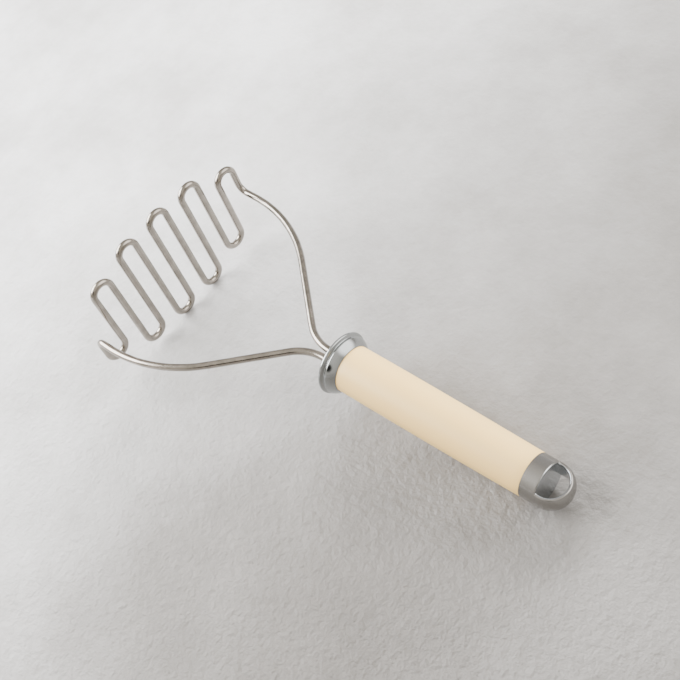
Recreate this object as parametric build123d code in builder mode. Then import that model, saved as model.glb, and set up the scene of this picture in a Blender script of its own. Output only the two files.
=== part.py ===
from build123d import *
import os
from math import asin, atan2, cos, degrees, hypot, radians, sin

# Wire potato masher, lying at rest on its head and on the rim of its end cap.
# One stainless wire is bent to and fro into a flat oval head, and its two ends run
# back side by side through a chromed collar into the handle. Millimetres.

# Wire head: the zigzag stands square to the handle, in the plane x = 0 of the tool.
wire_diameter = 4.0
pitch = 12.0                                # from one leg of the zigzag to the next
bend_reach = [36.5, 36.5, 33.5, 29.0, 21.0]  # handle axis to bend crown, middle to end
elbow_radius = 5.5                          # where an end leg turns back into its arm

# Arms, from the elbows to the collar
elbow_run = 5.0                             # straight wire between elbow and shoulder
shoulder_radius = 86.0
arm_slope = 41.5                            # degrees between the converging runs and the axis
throat_radius = 28.0                        # bend that brings the arms side by side
arm_gap = 1.0                               # between the two wires once side by side
throat_run = 9.5                            # straight wire in front of the collar
tang_length = 62.0                          # wire held inside the handle
tang_flat_length = 12.0                     # end of each tang, pressed flat
tang_flat_thickness = 2.8
tang_flat_height = 5.2
tang_flat_corner = 1.3
tang_squeeze_length = 4.0                   # where the round wire runs out into the flat

# Collar
collar_length = 8.0
collar_lip_radius = 17.0
collar_lip_width = 1.8
collar_groove_width = 0.9
collar_groove_depth = 0.8
collar_bead_radius = 15.8
collar_bead_round = 0.9                     # its crest, from which a cone runs to the grip
collar_step = 0.15                          # how far the collar stands proud of the grip
collar_web = 2.5                            # front wall that the wires pass through
collar_wall = 2.6

# Handle core
glue_groove_count = 2
glue_groove_depth = 0.6
glue_groove_width = 1.2

# Grip
grip_length = 108.5
grip_front_radius = 12.5
grip_middle_radius = 12.2
grip_rear_radius = 11.4
grip_wall = 4.3                             # at its rear end
grip_edge_radius = 0.2

# End cap with its hanging loop
cap_band = 8.4                              # from the grip to the flat wall of the loop
loop_setback = 1.1                          # from the flat wall to the centre of the round end
loop_hole_width = 17.0                      # along the flat wall
loop_hole_depth = 10.0
loop_edge_radius = 0.8
cap_plate = 1.6                             # thickness of the flat wall

# Clearances
wire_clearance = 0.05                       # round the wire, per side
core_clearance = 0.1                        # between core and sleeve, per side

# Places along the handle axis, measured from the plane of the head
bend_count = 2 * len(bend_reach)
arm_reach = len(bend_reach) * pitch
elbow_bow = elbow_radius * (1 - cos(radians(45)))
tang_offset = (wire_diameter + arm_gap) / 2
slope = radians(arm_slope)
shoulder_drop = (shoulder_radius + throat_radius) * (1 - cos(slope))
converging_run = (arm_reach - tang_offset - shoulder_drop) / sin(slope)
throat_end = (
    elbow_radius + elbow_run
    + (shoulder_radius + throat_radius) * sin(slope)
    + converging_run * cos(slope)
)
collar_front = throat_end + throat_run
grip_front = collar_front + collar_length
grip_middle = grip_front + grip_length / 2
grip_rear = grip_front + grip_length
loop_wall = grip_rear + cap_band
loop_centre = loop_wall + loop_setback
core_front = collar_front + collar_web
core_rear = loop_wall - cap_plate
core_radius = grip_rear_radius - grip_wall - core_clearance
tang_end = core_front + tang_length

# Resting pose: the handle slopes down until the rim of the loop's wall meets the table
head_drop = bend_reach[0] - grip_rear_radius + loop_edge_radius
rim_place = loop_wall - loop_edge_radius
round_difference = wire_diameter / 2 - loop_edge_radius
tilt = atan2(head_drop, rim_place) + asin(round_difference / hypot(rim_place, head_drop))
handle_dir = (cos(tilt), 0, -sin(tilt))
up_dir = (sin(tilt), 0, cos(tilt))
front_edge = -bend_reach[0] * sin(tilt) - wire_diameter / 2
rear_edge = loop_centre * cos(tilt) + grip_rear_radius
head_height = bend_reach[0] * cos(tilt) + wire_diameter / 2
head_centre = (-(front_edge + rear_edge) / 2, 0, head_height)

# Planes through the centre of the head: seen from above and from the side
top = Plane(origin=head_centre, x_dir=handle_dir, z_dir=up_dir)
side = Plane(origin=head_centre, x_dir=handle_dir, z_dir=(0, -1, 0))
handle_axis = Axis(origin=head_centre, direction=handle_dir)


def across(distance):
    """Plane square to the handle, at a distance from the head."""
    place = top.from_local_coords(Vector(distance, 0, 0))
    return Plane(origin=place, x_dir=(0, 1, 0), z_dir=handle_dir)


os.makedirs("parts", exist_ok=True)

# Wire head. Route: arm, elbow, zigzag, elbow, arm, in one continuous line.
with BuildLine(top) as wire_route:
    leg_start = (0, -arm_reach, -elbow_radius)
    for bend in range(bend_count):
        place = bend - (bend_count - 1) / 2
        turn = 1 if bend % 2 else -1
        level = turn * (bend_reach[int(abs(place))] - pitch / 2)
        left = place * pitch - pitch / 2
        Line(leg_start, (0, left, level))
        crown = (0, left + pitch / 2, level + turn * pitch / 2)
        leg_start = (0, left + pitch, level)
        ThreePointArc((0, left, level), crown, leg_start)
    Line(leg_start, (0, arm_reach, elbow_radius))
    for hand in (-1, 1):
        leg_end = (0, hand * arm_reach, hand * elbow_radius)
        arm_start = (elbow_radius, hand * arm_reach, 0)
        elbow_middle = (elbow_bow, hand * arm_reach, hand * elbow_bow)
        ThreePointArc(leg_end, elbow_middle, arm_start)
        shoulder_start = (elbow_radius + elbow_run, hand * arm_reach)
        Line(arm_start, shoulder_start)
        shoulder = JernArc(shoulder_start, (1, 0), shoulder_radius, -hand * arm_slope)
        run = PolarLine(shoulder @ 1, converging_run, -hand * arm_slope)
        throat = JernArc(run @ 1, run % 1, throat_radius, hand * arm_slope)
        Line(throat @ 1, (tang_end - tang_flat_length, hand * tang_offset))

route = wire_route.wires()[0]


def tang_flat(hand, extra):
    """Pressed end of one tang, or with extra the pocket that is moulded round it."""
    radius = wire_diameter / 2 + extra
    thickness = tang_flat_thickness + 2 * extra
    height = tang_flat_height + 2 * extra
    flat_start = tang_end - tang_flat_length
    flat_run = tang_flat_length - tang_squeeze_length + extra
    with BuildPart(mode=Mode.PRIVATE) as flat:
        with BuildSketch(across(flat_start)):
            with Locations((hand * tang_offset, 0)):
                Circle(radius)
        with BuildSketch(across(flat_start + tang_squeeze_length)):
            with Locations((hand * tang_offset, 0)):
                RectangleRounded(thickness, height, tang_flat_corner)
        loft()
        extrude(flat.faces().sort_by(handle_axis)[-1], amount=flat_run)
    return flat.part


with BuildPart() as wire_head:
    with BuildSketch(Plane(origin=route @ 0, z_dir=route % 0)):
        Circle(wire_diameter / 2)
    sweep(path=route)
    for hand in (-1, 1):
        add(tang_flat(hand, 0))
wire_head.part.label = "wire_head"
export_step(wire_head.part, "parts/wire_head.step")

# Collar: chromed die casting with a front lip, a groove and a bead that runs down to the grip.
# Its front web has one bore for each wire, and its hollow back takes the core's flange.
collar_back_radius = grip_front_radius + collar_step
collar_hollow = collar_back_radius - collar_wall
lip_round = collar_lip_width / 2
bead_start = collar_front + collar_lip_width + collar_groove_width
groove_radius = collar_bead_radius - collar_bead_round - collar_groove_depth
bead_centre = Vector(bead_start + collar_bead_round, collar_bead_radius - collar_bead_round)
bead_back = Vector(grip_front, collar_back_radius)
fall = bead_back - bead_centre
cone_slope = atan2(-fall.Y, fall.X) + asin(collar_bead_round / fall.length)
with BuildPart() as collar:
    with BuildSketch(side):
        with BuildLine():
            lip_root = (collar_front, collar_lip_radius - lip_round)
            lip_top = (collar_front + lip_round, collar_lip_radius)
            lip_back = (collar_front + collar_lip_width, collar_lip_radius - lip_round)
            bead_side = (bead_start, bead_centre.Y)
            Line((collar_front, 0), lip_root)
            ThreePointArc(lip_root, lip_top, lip_back)
            Polyline(
                lip_back,
                (lip_back[0], groove_radius),
                (bead_start, groove_radius),
                bead_side,
            )
            bead = JernArc(bead_side, (0, 1), collar_bead_round, -90 - degrees(cone_slope))
            Polyline(
                bead @ 1,
                bead_back,
                (grip_front, collar_hollow),
                (core_front, collar_hollow),
                (core_front, 0),
                (collar_front, 0),
            )
        make_face()
    revolve(axis=handle_axis)
    with BuildSketch(across(collar_front)):
        with Locations((-tang_offset, 0), (tang_offset, 0)):
            Circle(wire_diameter / 2 + wire_clearance)
    extrude(amount=collar_web, mode=Mode.SUBTRACT)
collar.part.label = "collar"
export_step(collar.part, "parts/collar.step")

# Handle core: nylon, moulded round the two tangs. Its flange sits in the collar, the
# sleeve slides on from behind, and its grooved end is glued into the end cap.
flange_radius = collar_hollow - core_clearance
glued_length = core_rear - grip_rear
with BuildPart() as handle_core:
    with BuildSketch(across(core_front)):
        Circle(flange_radius)
    extrude(amount=grip_front - core_front)
    with BuildSketch(across(grip_front)):
        Circle(core_radius)
    extrude(amount=core_rear - grip_front)
    for groove in range(1, glue_groove_count + 1):
        step = groove / (glue_groove_count + 1)
        groove_start = grip_rear + step * (glued_length - glue_groove_width)
        with BuildSketch(across(groove_start)):
            Circle(core_radius)
            Circle(core_radius - glue_groove_depth, mode=Mode.SUBTRACT)
        extrude(amount=glue_groove_width, mode=Mode.SUBTRACT)
    with BuildSketch(across(core_front)):
        with Locations((-tang_offset, 0), (tang_offset, 0)):
            Circle(wire_diameter / 2 + wire_clearance)
    extrude(amount=tang_length - tang_flat_length, mode=Mode.SUBTRACT)
    for hand in (-1, 1):
        add(tang_flat(hand, wire_clearance), mode=Mode.SUBTRACT)
handle_core.part.label = "handle_core"
export_step(handle_core.part, "parts/handle_core.step")

# Grip: one smooth ABS sleeve. Its taper is slightly bowed, steepest at the end cap.
with BuildPart() as grip:
    with BuildSketch(side) as half_sleeve:
        with BuildLine():
            front_rim = (grip_front, grip_front_radius)
            rear_rim = (grip_rear, grip_rear_radius)
            ThreePointArc(front_rim, (grip_middle, grip_middle_radius), rear_rim)
            Polyline(
                rear_rim,
                (grip_rear, core_radius + core_clearance),
                (grip_front, core_radius + core_clearance),
                front_rim,
            )
        make_face()
        fillet(half_sleeve.vertices().sort_by(Axis.Y)[-2:], grip_edge_radius)
    revolve(axis=handle_axis)
grip.part.label = "grip"
export_step(grip.part, "parts/grip.step")

# End cap: satin die casting, round at its end. A D-shaped hole cut straight through
# leaves the hanging loop, and a blind socket in front takes the end of the core.
with BuildPart() as end_cap:
    with BuildSketch(top):
        with BuildLine():
            Polyline((loop_centre, grip_rear_radius), (grip_rear, grip_rear_radius), (grip_rear, 0))
            Line((grip_rear, 0), (loop_centre + grip_rear_radius, 0))
            tip = (loop_centre + grip_rear_radius, 0)
            RadiusArc((loop_centre, grip_rear_radius), tip, grip_rear_radius)
        make_face()
    revolve(axis=handle_axis)
    with BuildSketch(across(grip_rear)):
        Circle(core_radius + core_clearance)
    extrude(amount=core_rear - grip_rear, mode=Mode.SUBTRACT)
    with BuildSketch(top):
        with BuildLine():
            wall_left = (loop_wall, loop_hole_width / 2)
            wall_right = (loop_wall, -loop_hole_width / 2)
            Line(wall_left, wall_right)
            ThreePointArc(wall_right, (loop_wall + loop_hole_depth, 0), wall_left)
        make_face()
    extrude(amount=2 * grip_rear_radius, both=True, mode=Mode.SUBTRACT)
    rims = end_cap.edges(Select.LAST).filter_by(GeomType.LINE, reverse=True)
    fillet(rims, loop_edge_radius)
end_cap.part.label = "end_cap"
export_step(end_cap.part, "parts/end_cap.step")
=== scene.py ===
from math import asin, atan2, cos, hypot, pi, radians, sin

import bmesh
import bpy
from mathutils import Matrix, Vector


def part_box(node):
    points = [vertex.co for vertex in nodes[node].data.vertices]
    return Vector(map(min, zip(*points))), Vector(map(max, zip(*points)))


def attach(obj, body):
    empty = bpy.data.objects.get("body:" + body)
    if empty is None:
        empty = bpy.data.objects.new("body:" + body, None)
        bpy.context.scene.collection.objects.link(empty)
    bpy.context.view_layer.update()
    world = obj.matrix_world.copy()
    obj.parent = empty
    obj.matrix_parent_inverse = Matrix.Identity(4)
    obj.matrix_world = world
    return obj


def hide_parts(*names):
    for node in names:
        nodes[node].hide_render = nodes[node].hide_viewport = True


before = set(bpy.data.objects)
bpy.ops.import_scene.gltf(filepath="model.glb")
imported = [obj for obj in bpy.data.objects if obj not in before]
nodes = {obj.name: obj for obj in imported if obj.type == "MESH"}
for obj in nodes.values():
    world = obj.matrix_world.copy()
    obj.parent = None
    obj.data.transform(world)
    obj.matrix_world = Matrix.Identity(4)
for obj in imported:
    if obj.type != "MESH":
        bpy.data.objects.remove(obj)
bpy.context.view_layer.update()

# Wire head: one stainless steel wire, 4 mm thick, drawn and then bent cold round pins.
# It zigzags in a flat oval, turns back at two elbows and runs as two arms to the handle,
# where its pressed ends are held. The legs and arms are straight runs between round bends.
wire_radius = 0.002
pitch = 0.012
bend_reach = [0.0365, 0.0365, 0.0335, 0.029, 0.021]
elbow_radius, elbow_run = 0.0055, 0.005
shoulder_radius, throat_radius = 0.086, 0.028
arm_slope = radians(41.5)
arm_gap, throat_run = 0.001, 0.0095
collar_web, tang_length, tang_flat_length, tang_squeeze = 0.0025, 0.062, 0.012, 0.004
tang_thickness, tang_height = 0.0028, 0.0052
bends = 2 * len(bend_reach)
arm_reach = bends * pitch / 2
wire_spacing = (2 * wire_radius + arm_gap) / 2
bend_rise = (shoulder_radius + throat_radius) * (1 - cos(arm_slope))
converging_run = (arm_reach - wire_spacing - bend_rise) / sin(arm_slope)
ring_sides, hairpin_steps, elbow_steps, shoulder_steps, throat_steps = 24, 20, 12, 20, 12

# The masher lies tilted: its handle slopes down from the head to the rim of the end cap.
collar_length, grip_length, cap_band = 0.008, 0.1085, 0.0084
grip_front_radius, grip_rear_radius, loop_edge_radius = 0.0125, 0.0114, 0.0008
grip_front = (
    elbow_radius + elbow_run + (shoulder_radius + throat_radius) * sin(arm_slope)
    + converging_run * cos(arm_slope) + throat_run + collar_length
)
rim_place = grip_front + grip_length + cap_band - loop_edge_radius
head_drop = bend_reach[0] - grip_rear_radius + loop_edge_radius
tilt = atan2(head_drop, rim_place) + asin(
    (wire_radius - loop_edge_radius) / hypot(rim_place, head_drop)
)
wire_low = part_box("wire_head")[0]
head_centre = Vector((
    wire_low.x + bend_reach[0] * sin(tilt) + wire_radius,
    0,
    wire_low.z + bend_reach[0] * cos(tilt) + wire_radius,
))
tool = Matrix.Translation(head_centre) @ Matrix.Rotation(tilt, 4, "Y")

wire = bmesh.new()


def straight(ring, along):
    """Draw the wire on from a ring of edges, straight along a vector."""
    drawn = bmesh.ops.extrude_edge_only(wire, edges=ring)["geom"]
    corners = [g for g in drawn if isinstance(g, bmesh.types.BMVert)]
    bmesh.ops.translate(wire, verts=corners, vec=along)
    return [g for g in drawn if isinstance(g, bmesh.types.BMEdge)]


def bent(ring, pin, axis, angle, steps):
    """Bend the wire on from a ring of edges, round a pin."""
    turned = bmesh.ops.spin(
        wire, geom=ring, cent=pin, axis=axis, angle=angle, steps=steps, use_duplicate=False,
    )["geom_last"]
    return [g for g in turned if isinstance(g, bmesh.types.BMEdge)]


start = bmesh.ops.create_circle(wire, segments=ring_sides, radius=wire_radius)["verts"]
bmesh.ops.translate(wire, verts=start, vec=(0, -arm_reach, -elbow_radius))
first_ring = list(wire.edges)
ring, level = first_ring, -elbow_radius
for bend in range(bends):
    place = bend - (bends - 1) / 2
    turn = 1 if bend % 2 else -1
    bend_level = turn * (bend_reach[int(abs(place))] - pitch / 2)
    ring = straight(ring, (0, 0, bend_level - level))
    ring = bent(ring, (0, place * pitch, bend_level), (-turn, 0, 0), pi, hairpin_steps)
    level = bend_level
last_ring = straight(ring, (0, 0, elbow_radius - level))
for hand, ring in ((-1, first_ring), (1, last_ring)):
    elbow_pin = (elbow_radius, hand * arm_reach, hand * elbow_radius)
    ring = bent(ring, elbow_pin, (0, -hand, 0), pi / 2, elbow_steps)
    ring = straight(ring, (elbow_run, 0, 0))
    shoulder_pin = (elbow_radius + elbow_run, hand * (arm_reach - shoulder_radius), 0)
    ring = bent(ring, shoulder_pin, (0, 0, -hand), arm_slope, shoulder_steps)
    ring = straight(
        ring, (converging_run * cos(arm_slope), -hand * converging_run * sin(arm_slope), 0)
    )
    throat_start = sum((e.verts[0].co for e in ring), Vector()) / len(ring)
    outward = Vector((sin(arm_slope), hand * cos(arm_slope), 0))
    throat_pin = throat_start + outward * throat_radius
    ring = bent(ring, throat_pin, (0, 0, hand), arm_slope, throat_steps)
    ring = straight(ring, (throat_run + collar_web + tang_length - tang_flat_length, 0, 0))
    ring = straight(ring, (tang_squeeze, 0, 0))
    bmesh.ops.scale(
        wire,
        verts=list({v for e in ring for v in e.verts}),
        vec=(1, tang_thickness / (2 * wire_radius), tang_height / (2 * wire_radius)),
        space=Matrix.Translation((0, -hand * wire_spacing, 0)),
    )
    ring = straight(ring, (tang_flat_length - tang_squeeze, 0, 0))
    bmesh.ops.contextual_create(wire, geom=ring)
bmesh.ops.recalc_face_normals(wire, faces=wire.faces)
bmesh.ops.transform(wire, matrix=tool, verts=wire.verts)
for face in wire.faces:
    face.smooth = len(face.verts) == 4


def as_object(name, shape):
    """Turn a finished bmesh into an object at the origin."""
    mesh = bpy.data.meshes.new(name)
    shape.to_mesh(mesh)
    shape.free()
    made = bpy.data.objects.new(name, mesh)
    bpy.context.scene.collection.objects.link(made)
    return made


bent_wire = as_object("bent_wire", wire)


def linear(hex_colour):
    """An sRGB hex colour as linear red, green, blue and alpha."""
    shares = [int(hex_colour[i:i + 2], 16) / 255 for i in (0, 2, 4)]
    return [c / 12.92 if c <= 0.04045 else ((c + 0.055) / 1.055) ** 2.4 for c in shares] + [1]


def add_node(material, kind, settings=None, inputs=None):
    """Add a shader node, set its settings, then fill its inputs with values or links."""
    node = material.node_tree.nodes.new(kind)
    for name, value in (settings or {}).items():
        setattr(node, name, value)
    for name, value in (inputs or {}).items():
        if isinstance(value, bpy.types.NodeSocket):
            material.node_tree.links.new(value, node.inputs[name])
        else:
            node.inputs[name].default_value = value
    return node


def new_material(name):
    """An empty node material, and the object's own coordinates in metres."""
    material = bpy.data.materials.new(name)
    material.use_nodes = True
    material.node_tree.nodes.clear()
    return material, add_node(material, "ShaderNodeTexCoord").outputs["Object"]


# Stainless steel 18/8, drawn and tumbled. Tumbling leaves faint clouds about 6 mm long and
# a fine grit of about 0.4 mm, so its highlights are soft but stay narrow.
cloud_length, grit_width, grit_depth = 0.006, 0.0004, 0.00002
stainless, place = new_material("drawn_stainless_steel")
clouds = add_node(
    stainless, "ShaderNodeTexNoise",
    inputs={"Vector": place, "Scale": 1 / cloud_length, "Detail": 3.0, "Roughness": 0.5},
)
grit = add_node(
    stainless, "ShaderNodeTexNoise",
    inputs={"Vector": place, "Scale": 1 / grit_width, "Detail": 2.0, "Roughness": 0.6},
)
worn = add_node(
    stainless, "ShaderNodeMapRange",
    inputs={"Value": clouds.outputs["Fac"], "From Min": 0.35, "From Max": 0.65},
)
steel_colour = add_node(
    stainless, "ShaderNodeMixRGB",
    inputs={
        "Fac": worn.outputs["Result"],
        "Color1": linear("8C867E"),
        "Color2": linear("9F9890"),
    },
)
steel_gloss = add_node(
    stainless, "ShaderNodeMapRange",
    inputs={"Value": clouds.outputs["Fac"], "To Min": 0.12, "To Max": 0.26},
)
bump = add_node(
    stainless, "ShaderNodeBump",
    inputs={"Strength": 0.12, "Distance": grit_depth, "Height": grit.outputs["Fac"]},
)
shader = add_node(
    stainless, "ShaderNodeBsdfPrincipled",
    inputs={
        "Base Color": steel_colour.outputs["Color"],
        "Metallic": 1.0,
        "Roughness": steel_gloss.outputs["Result"],
        "Normal": bump.outputs["Normal"],
    },
)
add_node(stainless, "ShaderNodeOutputMaterial", inputs={"Surface": shader.outputs["BSDF"]})
bent_wire.data.materials.append(stainless)
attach(bent_wire, "root")
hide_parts("wire_head")

# Collar: zinc die casting, polished and chromed, pushed up against the front of the grip.
# A rounded lip, a soft valley and a bead run round it, and the bead's flank falls to the
# grip in one slightly full curve. The front web has a bore for each wire.
lip_radius, lip_round, lip_slope = 0.017, 0.0009, radians(25)
valley_radius, valley_round = 0.0153, 0.0005
bead_radius, bead_round = 0.0158, 0.0009
flank_fullness = 0.0002
flank_step, collar_wall, bore_clearance = 0.00015, 0.0026, 0.00005
round_steps, flank_steps, lathe_steps, bore_sides = 12, 16, 128, 32
end_facing = 0.999
collar_back_radius = grip_front_radius + flank_step
collar_front = grip_front - collar_length
lip_level, bead_level = lip_radius - lip_round, bead_radius - bead_round
valley_level = valley_radius + valley_round
slope_length = (
    lip_level + (lip_round + valley_round) * sin(lip_slope) - valley_level
) / cos(lip_slope)
valley = lip_round + (lip_round + valley_round) * cos(lip_slope) + slope_length * sin(lip_slope)
bead_rise = asin((valley_level - bead_level) / (valley_round + bead_round))
crest = valley + (valley_round + bead_round) * cos(bead_rise)
flank = hypot(collar_length - crest, bead_level - collar_back_radius)
flank_angle = atan2(bead_level - collar_back_radius, collar_length - crest)
flank_angle += asin(bead_round / flank)
profile = []
for centre, level, roundness, first_turn, last_turn in (
    (lip_round, lip_level, lip_round, pi, lip_slope),
    (valley, valley_level, valley_round, pi + lip_slope, 2 * pi - bead_rise),
    (crest, bead_level, bead_round, pi - bead_rise, pi / 2 - flank_angle),
):
    for step in range(round_steps + 1):
        turn = first_turn + (last_turn - first_turn) * step / round_steps
        profile.append((centre + roundness * cos(turn), level + roundness * sin(turn)))
flank_start, flank_level = profile[-1]
for step in range(1, flank_steps + 1):
    share = step / flank_steps
    full = 4 * flank_fullness * share * (1 - share)
    profile.append((
        flank_start + (collar_length - flank_start) * share + full * sin(flank_angle),
        flank_level + (collar_back_radius - flank_level) * share + full * cos(flank_angle),
    ))
profile.append((collar_length, collar_back_radius - collar_wall))
profile.append((collar_web, collar_back_radius - collar_wall))
casting = bmesh.new()
corners = [casting.verts.new((collar_front + along, 0, radius)) for along, radius in profile]
for corner, next_corner in zip(corners, corners[1:]):
    casting.edges.new((corner, next_corner))
bmesh.ops.spin(
    casting, geom=casting.verts[:] + casting.edges[:], cent=(0, 0, 0), axis=(1, 0, 0),
    angle=2 * pi, steps=lathe_steps, use_merge=True,
)
for hand in (-1, 1):
    rim = bmesh.ops.create_circle(
        casting, segments=bore_sides, radius=wire_radius + bore_clearance,
        matrix=Matrix.Translation((collar_front, hand * wire_spacing, 0))
        @ Matrix.Rotation(pi / 2, 4, "Y"),
    )["verts"]
    rim_edges = list({edge for corner in rim for edge in corner.link_edges})
    drawn = bmesh.ops.extrude_edge_only(casting, edges=rim_edges)["geom"]
    bmesh.ops.translate(
        casting, verts=[g for g in drawn if isinstance(g, bmesh.types.BMVert)],
        vec=(collar_web, 0, 0),
    )
open_edges = [edge for edge in casting.edges if edge.is_boundary]
for web_face in (collar_front, collar_front + collar_web):
    bmesh.ops.triangle_fill(
        casting, use_beauty=True, normal=(1, 0, 0),
        edges=[
            edge for edge in open_edges
            if all(abs(v.co.x - web_face) < collar_web / 2 for v in edge.verts)
        ],
    )
bmesh.ops.recalc_face_normals(casting, faces=casting.faces)
for face in casting.faces:
    face.smooth = abs(face.normal.x) < end_facing
bmesh.ops.transform(casting, matrix=tool, verts=casting.verts)
collar_casting = as_object("collar_casting", casting)

# Chrome plate over polished zinc. Polishing leaves swirls about 8 mm long that break up its
# reflections a little.
swirl_length = 0.008
chrome, place = new_material("polished_chrome")
swirls = add_node(
    chrome, "ShaderNodeTexNoise",
    inputs={"Vector": place, "Scale": 1 / swirl_length, "Detail": 4.0, "Roughness": 0.55},
)
chrome_colour = add_node(
    chrome, "ShaderNodeMixRGB",
    inputs={
        "Fac": swirls.outputs["Fac"],
        "Color1": linear("989C9C"),
        "Color2": linear("A9ABAD"),
    },
)
chrome_gloss = add_node(
    chrome, "ShaderNodeMapRange",
    inputs={"Value": swirls.outputs["Fac"], "To Min": 0.1, "To Max": 0.2},
)
shader = add_node(
    chrome, "ShaderNodeBsdfPrincipled",
    inputs={
        "Base Color": chrome_colour.outputs["Color"],
        "Metallic": 1.0,
        "Roughness": chrome_gloss.outputs["Result"],
    },
)
add_node(chrome, "ShaderNodeOutputMaterial", inputs={"Surface": shader.outputs["BSDF"]})
collar_casting.data.materials.append(chrome)
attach(collar_casting, "root")
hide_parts("collar")

# Handle core: nylon, moulded round the pressed ends of the wire. It is hidden inside the
# grip and the two castings, and holds them all together. The melt leaves flow marks.
flow_length = 0.01
nylon, place = new_material("moulded_nylon")
flow = add_node(
    nylon, "ShaderNodeTexNoise",
    inputs={"Vector": place, "Scale": 1 / flow_length, "Detail": 3.0},
)
nylon_colour = add_node(
    nylon, "ShaderNodeMixRGB",
    inputs={
        "Fac": flow.outputs["Fac"],
        "Color1": linear("5A5853"),
        "Color2": linear("6B6862"),
    },
)
shader = add_node(
    nylon, "ShaderNodeBsdfPrincipled",
    inputs={"Base Color": nylon_colour.outputs["Color"], "Roughness": 0.55, "IOR": 1.53},
)
add_node(nylon, "ShaderNodeOutputMaterial", inputs={"Surface": shader.outputs["BSDF"]})
nodes["handle_core"].data.materials.clear()
nodes["handle_core"].data.materials.append(nylon)

# Grip: one cream ABS sleeve, injection moulded in a finely blasted tool, that slides on from
# behind. Its taper is slightly bowed, steepest at the end cap.
grip_middle_radius, grip_wall, grip_edge_radius = 0.0122, 0.0043, 0.0002
bow = grip_middle_radius - (grip_front_radius + grip_rear_radius) / 2
bore_radius = grip_rear_radius - grip_wall
mid_wall_radius = grip_rear_radius - grip_wall / 2
stations, corner_steps, square_corner = 24, 3, radians(60)
sleeve = bmesh.new()
outline = [sleeve.verts.new((grip_front, 0, bore_radius))]
for station in range(stations + 1):
    share = station / stations
    taper = grip_front_radius * (1 - share) + grip_rear_radius * share
    radius = taper + 4 * bow * share * (1 - share)
    outline.append(sleeve.verts.new((grip_front + grip_length * share, 0, radius)))
outline.append(sleeve.verts.new((grip_front + grip_length, 0, bore_radius)))
for corner, next_corner in zip(outline, outline[1:] + outline[:1]):
    sleeve.edges.new((corner, next_corner))
bmesh.ops.spin(
    sleeve, geom=sleeve.verts[:] + sleeve.edges[:], cent=(0, 0, 0), axis=(1, 0, 0),
    angle=2 * pi, steps=lathe_steps, use_merge=True,
)
bmesh.ops.recalc_face_normals(sleeve, faces=sleeve.faces)
bmesh.ops.bevel(
    sleeve,
    geom=[
        edge for edge in sleeve.edges
        if edge.calc_face_angle() > square_corner and edge.verts[0].co.yz.length > mid_wall_radius
    ],
    offset=grip_edge_radius, affect="EDGES", segments=corner_steps, profile=0.5, material=-1,
)
for face in sleeve.faces:
    face.smooth = abs(face.normal.x) < end_facing
bmesh.ops.transform(sleeve, matrix=tool, verts=sleeve.verts)
grip_sleeve = as_object("grip_sleeve", sleeve)

# The plastic's colour is even, with the faintest clouding 30 mm long, and its blasted skin
# has a grain of about 0.9 mm that gives it a soft sheen.
clouding_length, skin_grain, skin_depth = 0.03, 0.0009, 0.00003
abs_cream, place = new_material("moulded_cream_abs")
tone = add_node(
    abs_cream, "ShaderNodeTexNoise",
    inputs={"Vector": place, "Scale": 1 / clouding_length, "Detail": 2.0},
)
skin = add_node(
    abs_cream, "ShaderNodeTexNoise",
    inputs={"Vector": place, "Scale": 1 / skin_grain, "Detail": 2.0},
)
cream_colour = add_node(
    abs_cream, "ShaderNodeMixRGB",
    inputs={
        "Fac": tone.outputs["Fac"],
        "Color1": linear("F3CA7E"),
        "Color2": linear("F7D188"),
    },
)
cream_gloss = add_node(
    abs_cream, "ShaderNodeMapRange",
    inputs={"Value": skin.outputs["Fac"], "To Min": 0.36, "To Max": 0.5},
)
bump = add_node(
    abs_cream, "ShaderNodeBump",
    inputs={"Strength": 0.1, "Distance": skin_depth, "Height": skin.outputs["Fac"]},
)
shader = add_node(
    abs_cream, "ShaderNodeBsdfPrincipled",
    inputs={
        "Base Color": cream_colour.outputs["Color"],
        "Roughness": cream_gloss.outputs["Result"],
        "IOR": 1.54,
        "Normal": bump.outputs["Normal"],
    },
)
add_node(abs_cream, "ShaderNodeOutputMaterial", inputs={"Surface": shader.outputs["BSDF"]})
grip_sleeve.data.materials.append(abs_cream)
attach(grip_sleeve, "root")
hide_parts("grip")

# End cap: zinc die casting with a satin nickel finish, glued to the end of the core.
# A D-shaped hole straight through it leaves the hanging loop. Fine brushing marks, drawn
# 0.5 mm wide so that they show, take the edge off its reflections.
mark_width, mark_depth = 0.0005, 0.00002
nickel, place = new_material("satin_nickel")
brushing = add_node(
    nickel, "ShaderNodeTexNoise",
    inputs={"Vector": place, "Scale": 1 / mark_width, "Detail": 2.0},
)
nickel_colour = add_node(
    nickel, "ShaderNodeMixRGB",
    inputs={
        "Fac": brushing.outputs["Fac"],
        "Color1": linear("92908E"),
        "Color2": linear("A2A09D"),
    },
)
nickel_gloss = add_node(
    nickel, "ShaderNodeMapRange",
    inputs={"Value": brushing.outputs["Fac"], "To Min": 0.18, "To Max": 0.28},
)
bump = add_node(
    nickel, "ShaderNodeBump",
    inputs={"Strength": 0.03, "Distance": mark_depth, "Height": brushing.outputs["Fac"]},
)
shader = add_node(
    nickel, "ShaderNodeBsdfPrincipled",
    inputs={
        "Base Color": nickel_colour.outputs["Color"],
        "Metallic": 1.0,
        "Roughness": nickel_gloss.outputs["Result"],
        "Normal": bump.outputs["Normal"],
    },
)
add_node(nickel, "ShaderNodeOutputMaterial", inputs={"Surface": shader.outputs["BSDF"]})

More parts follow.
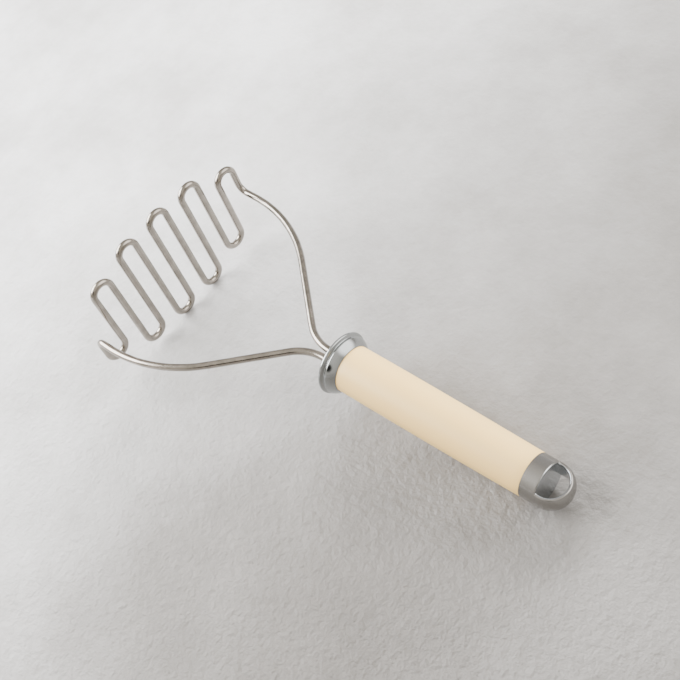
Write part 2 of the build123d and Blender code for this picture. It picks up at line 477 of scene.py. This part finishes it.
# The wall of the hole is burnished bright, up to the round of its edge, and its colour is also
# lightened as painted light, for the light that comes in through the hole. Rubbing leaves faint
# marks 3 mm long, which vary its shine.
rub_length = 0.003
burnished_lit_nickel, place = new_material("burnished_nickel_painted_light")
rubbing = add_node(
    burnished_lit_nickel, "ShaderNodeTexNoise",
    inputs={"Vector": place, "Scale": 1 / rub_length, "Detail": 3.0},
)
burnished_lit_colour = add_node(
    burnished_lit_nickel, "ShaderNodeMixRGB",
    inputs={
        "Fac": rubbing.outputs["Fac"],
        "Color1": linear("B6BABD"),
        "Color2": linear("C6CACD"),
    },
)
bright_gloss = add_node(
    burnished_lit_nickel, "ShaderNodeMapRange",
    inputs={"Value": rubbing.outputs["Fac"], "To Min": 0.14, "To Max": 0.24},
)
shader = add_node(
    burnished_lit_nickel, "ShaderNodeBsdfPrincipled",
    inputs={
        "Base Color": burnished_lit_colour.outputs["Color"],
        "Metallic": 1.0,
        "Roughness": bright_gloss.outputs["Result"],
    },
)
add_node(
    burnished_lit_nickel, "ShaderNodeOutputMaterial", inputs={"Surface": shader.outputs["BSDF"]}
)

# The casting is merged from loose triangles into one skin, and keeps its surface normals.
loop_hole_depth, least_facing, merging_gap = 0.01, 0.3, 0.000001
hole_middle = Vector((rim_place + loop_edge_radius + loop_hole_depth / 2, 0, 0))
cad_cap = nodes["end_cap"].data
cap = bmesh.new()
cap.from_mesh(cad_cap)
surface_normal = cap.loops.layers.float_vector.new("surface_normal")
corners = (corner for face in cap.faces for corner in face.loops)
for corner, normal in zip(corners, cad_cap.corner_normals):
    corner[surface_normal] = normal.vector
bmesh.ops.remove_doubles(cap, verts=cap.verts, dist=merging_gap)
level_tool = tool.inverted()
for face in cap.faces:
    inward = hole_middle - level_tool @ face.calc_center_median()
    facing_in = inward.xy.normalized().dot((level_tool.to_3x3() @ face.normal).xy)
    if inward.x < loop_hole_depth / 2 + loop_edge_radius and facing_in > least_facing:
        # Painted light: the hole's wall gets the lightened, burnished nickel.
        face.material_index = 1
surface_normals = [c[surface_normal].copy() for face in cap.faces for c in face.loops]
cap.loops.layers.float_vector.remove(surface_normal)
cap_casting = as_object("cap_casting", cap)
cap_casting.data.normals_split_custom_set(surface_normals)
cap_casting.data.materials.append(nickel)
cap_casting.data.materials.append(burnished_lit_nickel)
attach(cap_casting, "root")
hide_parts("end_cap")

# Worktop: a pale slab of honed stone that the masher lies on. Clouds of about 120 mm and
# grain of 5 mm run through it, and honing leaves shallow dimples and a low sheen.
slab_reach, patch_width, stone_grain, dimple_depth = 2.0, 0.12, 0.005, 0.0022
worktop = bmesh.new()
bmesh.ops.create_grid(worktop, x_segments=1, y_segments=1, size=slab_reach)
slab = as_object("worktop", worktop)
stone, place = new_material("honed_pale_stone")
patches = add_node(
    stone, "ShaderNodeTexNoise",
    inputs={"Vector": place, "Scale": 1 / patch_width, "Detail": 8.0, "Roughness": 0.72},
)
grain = add_node(
    stone, "ShaderNodeTexNoise",
    inputs={"Vector": place, "Scale": 1 / stone_grain, "Detail": 5.0, "Roughness": 0.65},
)
clouding = add_node(
    stone, "ShaderNodeMapRange",
    inputs={"Value": patches.outputs["Fac"], "From Min": 0.38, "From Max": 0.62},
)
stone_colour = add_node(
    stone, "ShaderNodeMixRGB",
    inputs={
        "Fac": clouding.outputs["Result"],
        "Color1": linear("B6B5B4"),
        "Color2": linear("D2D2D3"),
    },
)
# Painted shade: the slab's colour darkens slowly along the masher, over 430 mm from its head
# towards its end cap, where the light falls off.
painted_falloff_direction, lit_end, shaded_end = Vector((0.95, 0.1, 0.0)), -0.28, 0.15
lengthwise = add_node(
    stone, "ShaderNodeVectorMath", {"operation": "DOT_PRODUCT"}, {0: place, 1: painted_falloff_direction},
)
painted_falloff_shade = add_node(
    stone, "ShaderNodeMapRange", {"interpolation_type": "SMOOTHSTEP"},
    {"Value": lengthwise.outputs["Value"], "From Min": lit_end, "From Max": shaded_end},
)
# Painted shade: the stone's colour is multiplied darker towards the end cap, for the light
# falling off.
falloff_shaded_stone = add_node(
    stone, "ShaderNodeMixRGB", {"blend_type": "MULTIPLY"},
    {
        "Fac": painted_falloff_shade.outputs["Result"],
        "Color1": stone_colour.outputs["Color"],
        "Color2": linear("A6A39F"),
    },
)
# Painted shadow: one broad darker patch, about 300 mm across, is painted beside the handle, where
# the handle's shadow falls.
painted_shadow_middle, painted_shadow_reach, painted_shadow_heart = Vector((0.04, -0.12, 0.0)), 0.17, 0.04
painted_shadow_distance = add_node(
    stone, "ShaderNodeVectorMath", {"operation": "DISTANCE"}, {0: place, 1: painted_shadow_middle},
)
painted_shadow = add_node(
    stone, "ShaderNodeMapRange", {"interpolation_type": "SMOOTHSTEP"},
    {
        "Value": painted_shadow_distance.outputs["Value"],
        "From Min": painted_shadow_reach, "From Max": painted_shadow_heart,
    },
)
# Painted shadow: the stone's colour is multiplied darker in the patch beside the handle.
shadowed_stone = add_node(
    stone, "ShaderNodeMixRGB", {"blend_type": "MULTIPLY"},
    {
        "Fac": painted_shadow.outputs["Result"],
        "Color1": falloff_shaded_stone.outputs["Color"],
        "Color2": linear("CBC8C4"),
    },
)
# The front of the slab, at -Y, is honed less finely than its back.
fine_side, coarse_side = 0.12, -0.1
crosswise = add_node(stone, "ShaderNodeSeparateXYZ", inputs={"Vector": place})
honing = add_node(
    stone, "ShaderNodeMapRange", {"interpolation_type": "SMOOTHSTEP"},
    {
        "Value": crosswise.outputs["Y"],
        "From Min": fine_side, "From Max": coarse_side, "To Min": 0.2, "To Max": 1.0,
    },
)
bump = add_node(
    stone, "ShaderNodeBump",
    inputs={
        "Strength": honing.outputs["Result"],
        "Distance": dimple_depth,
        "Height": grain.outputs["Fac"],
    },
)
shader = add_node(
    stone, "ShaderNodeBsdfPrincipled",
    inputs={
        "Base Color": shadowed_stone.outputs["Color"],
        "Roughness": 0.42,
        "Normal": bump.outputs["Normal"],
    },
)
add_node(stone, "ShaderNodeOutputMaterial", inputs={"Surface": shader.outputs["BSDF"]})
slab.data.materials.append(stone)

# Studio: a warm grey room with a pale far left wall, a pale ceiling, a soft lamp behind at
# the right and one dark doorway in front, each fading into the last. Two windows on the left
# light the masher, and the far one doesn't show in the metal.
room = bpy.data.worlds.new("room")
bpy.context.scene.world = room
room.use_nodes = True
room.node_tree.nodes.clear()
towards = add_node(room, "ShaderNodeTexCoord").outputs["Object"]
surroundings = linear("6A6661")
for direction, fade_start, fade_end, colour in (
    ((-0.84, 0.54, 0.0), 0.2, 0.9, "787775"),
    ((0.15, -0.5, 0.85), 0.2, 0.9, "8D8A84"),
    ((0.54, 0.63, 0.56), 0.78, 0.97, "FFFCF8"),
    ((0.43, -0.81, 0.4), 0.955, 0.985, "0A0909"),
):
    facing = add_node(
        room, "ShaderNodeVectorMath", {"operation": "DOT_PRODUCT"},
        {0: towards, 1: Vector(direction)},
    )
    nearness = add_node(
        room, "ShaderNodeMapRange", {"interpolation_type": "SMOOTHSTEP"},
        {"Value": facing.outputs["Value"], "From Min": fade_start, "From Max": fade_end},
    )
    surroundings = add_node(
        room, "ShaderNodeMixRGB",
        inputs={
            "Fac": nearness.outputs["Result"],
            "Color1": surroundings,
            "Color2": linear(colour),
        },
    ).outputs["Color"]
glow = add_node(
    room, "ShaderNodeBackground",
    inputs={"Color": surroundings, "Strength": 4.8},
)
add_node(room, "ShaderNodeOutputWorld", inputs={"Surface": glow.outputs["Background"]})


def soft_window(name, place, width, height, power):
    """An oval area light that faces the masher."""
    data = bpy.data.lights.new(name, "AREA")
    data.shape = "ELLIPSE"
    data.size, data.size_y, data.energy = width, height, power
    window = bpy.data.objects.new(name, data)
    bpy.context.scene.collection.objects.link(window)
    window.location = place
    window.rotation_mode = "QUATERNION"
    window.rotation_quaternion = (-Vector(place)).to_track_quat("-Z", "Y")
    return window


soft_window("near_window", (-0.66, -0.36, 0.56), 0.9, 0.7, 28)
far_window = soft_window("far_window", (-0.8, 1.3, 0.7), 1.4, 0.8, 95)
far_window.visible_glossy = False

# Camera: close above the handle's end, turned so that the handle runs down to the right.
camera_data = bpy.data.cameras.new("camera")
camera = bpy.data.objects.new("camera", camera_data)
bpy.context.scene.collection.objects.link(camera)
camera_data.lens = 60.2
camera_data.sensor_width = 36.0
azimuth, elevation, roll = radians(63.8), radians(47.6), radians(29.2)
distance = 0.613
aim = Vector((-0.0315, 0.0204, 0.0))
back = Vector((
    sin(azimuth) * cos(elevation),
    -cos(azimuth) * cos(elevation),
    sin(elevation),
))
camera.location = aim + back * distance
camera.rotation_mode = "QUATERNION"
level_view = (-back).to_track_quat("-Z", "Y").to_matrix().to_4x4()
camera.rotation_quaternion = (level_view @ Matrix.Rotation(-roll, 4, "Z")).to_quaternion()
bpy.context.scene.camera = camera
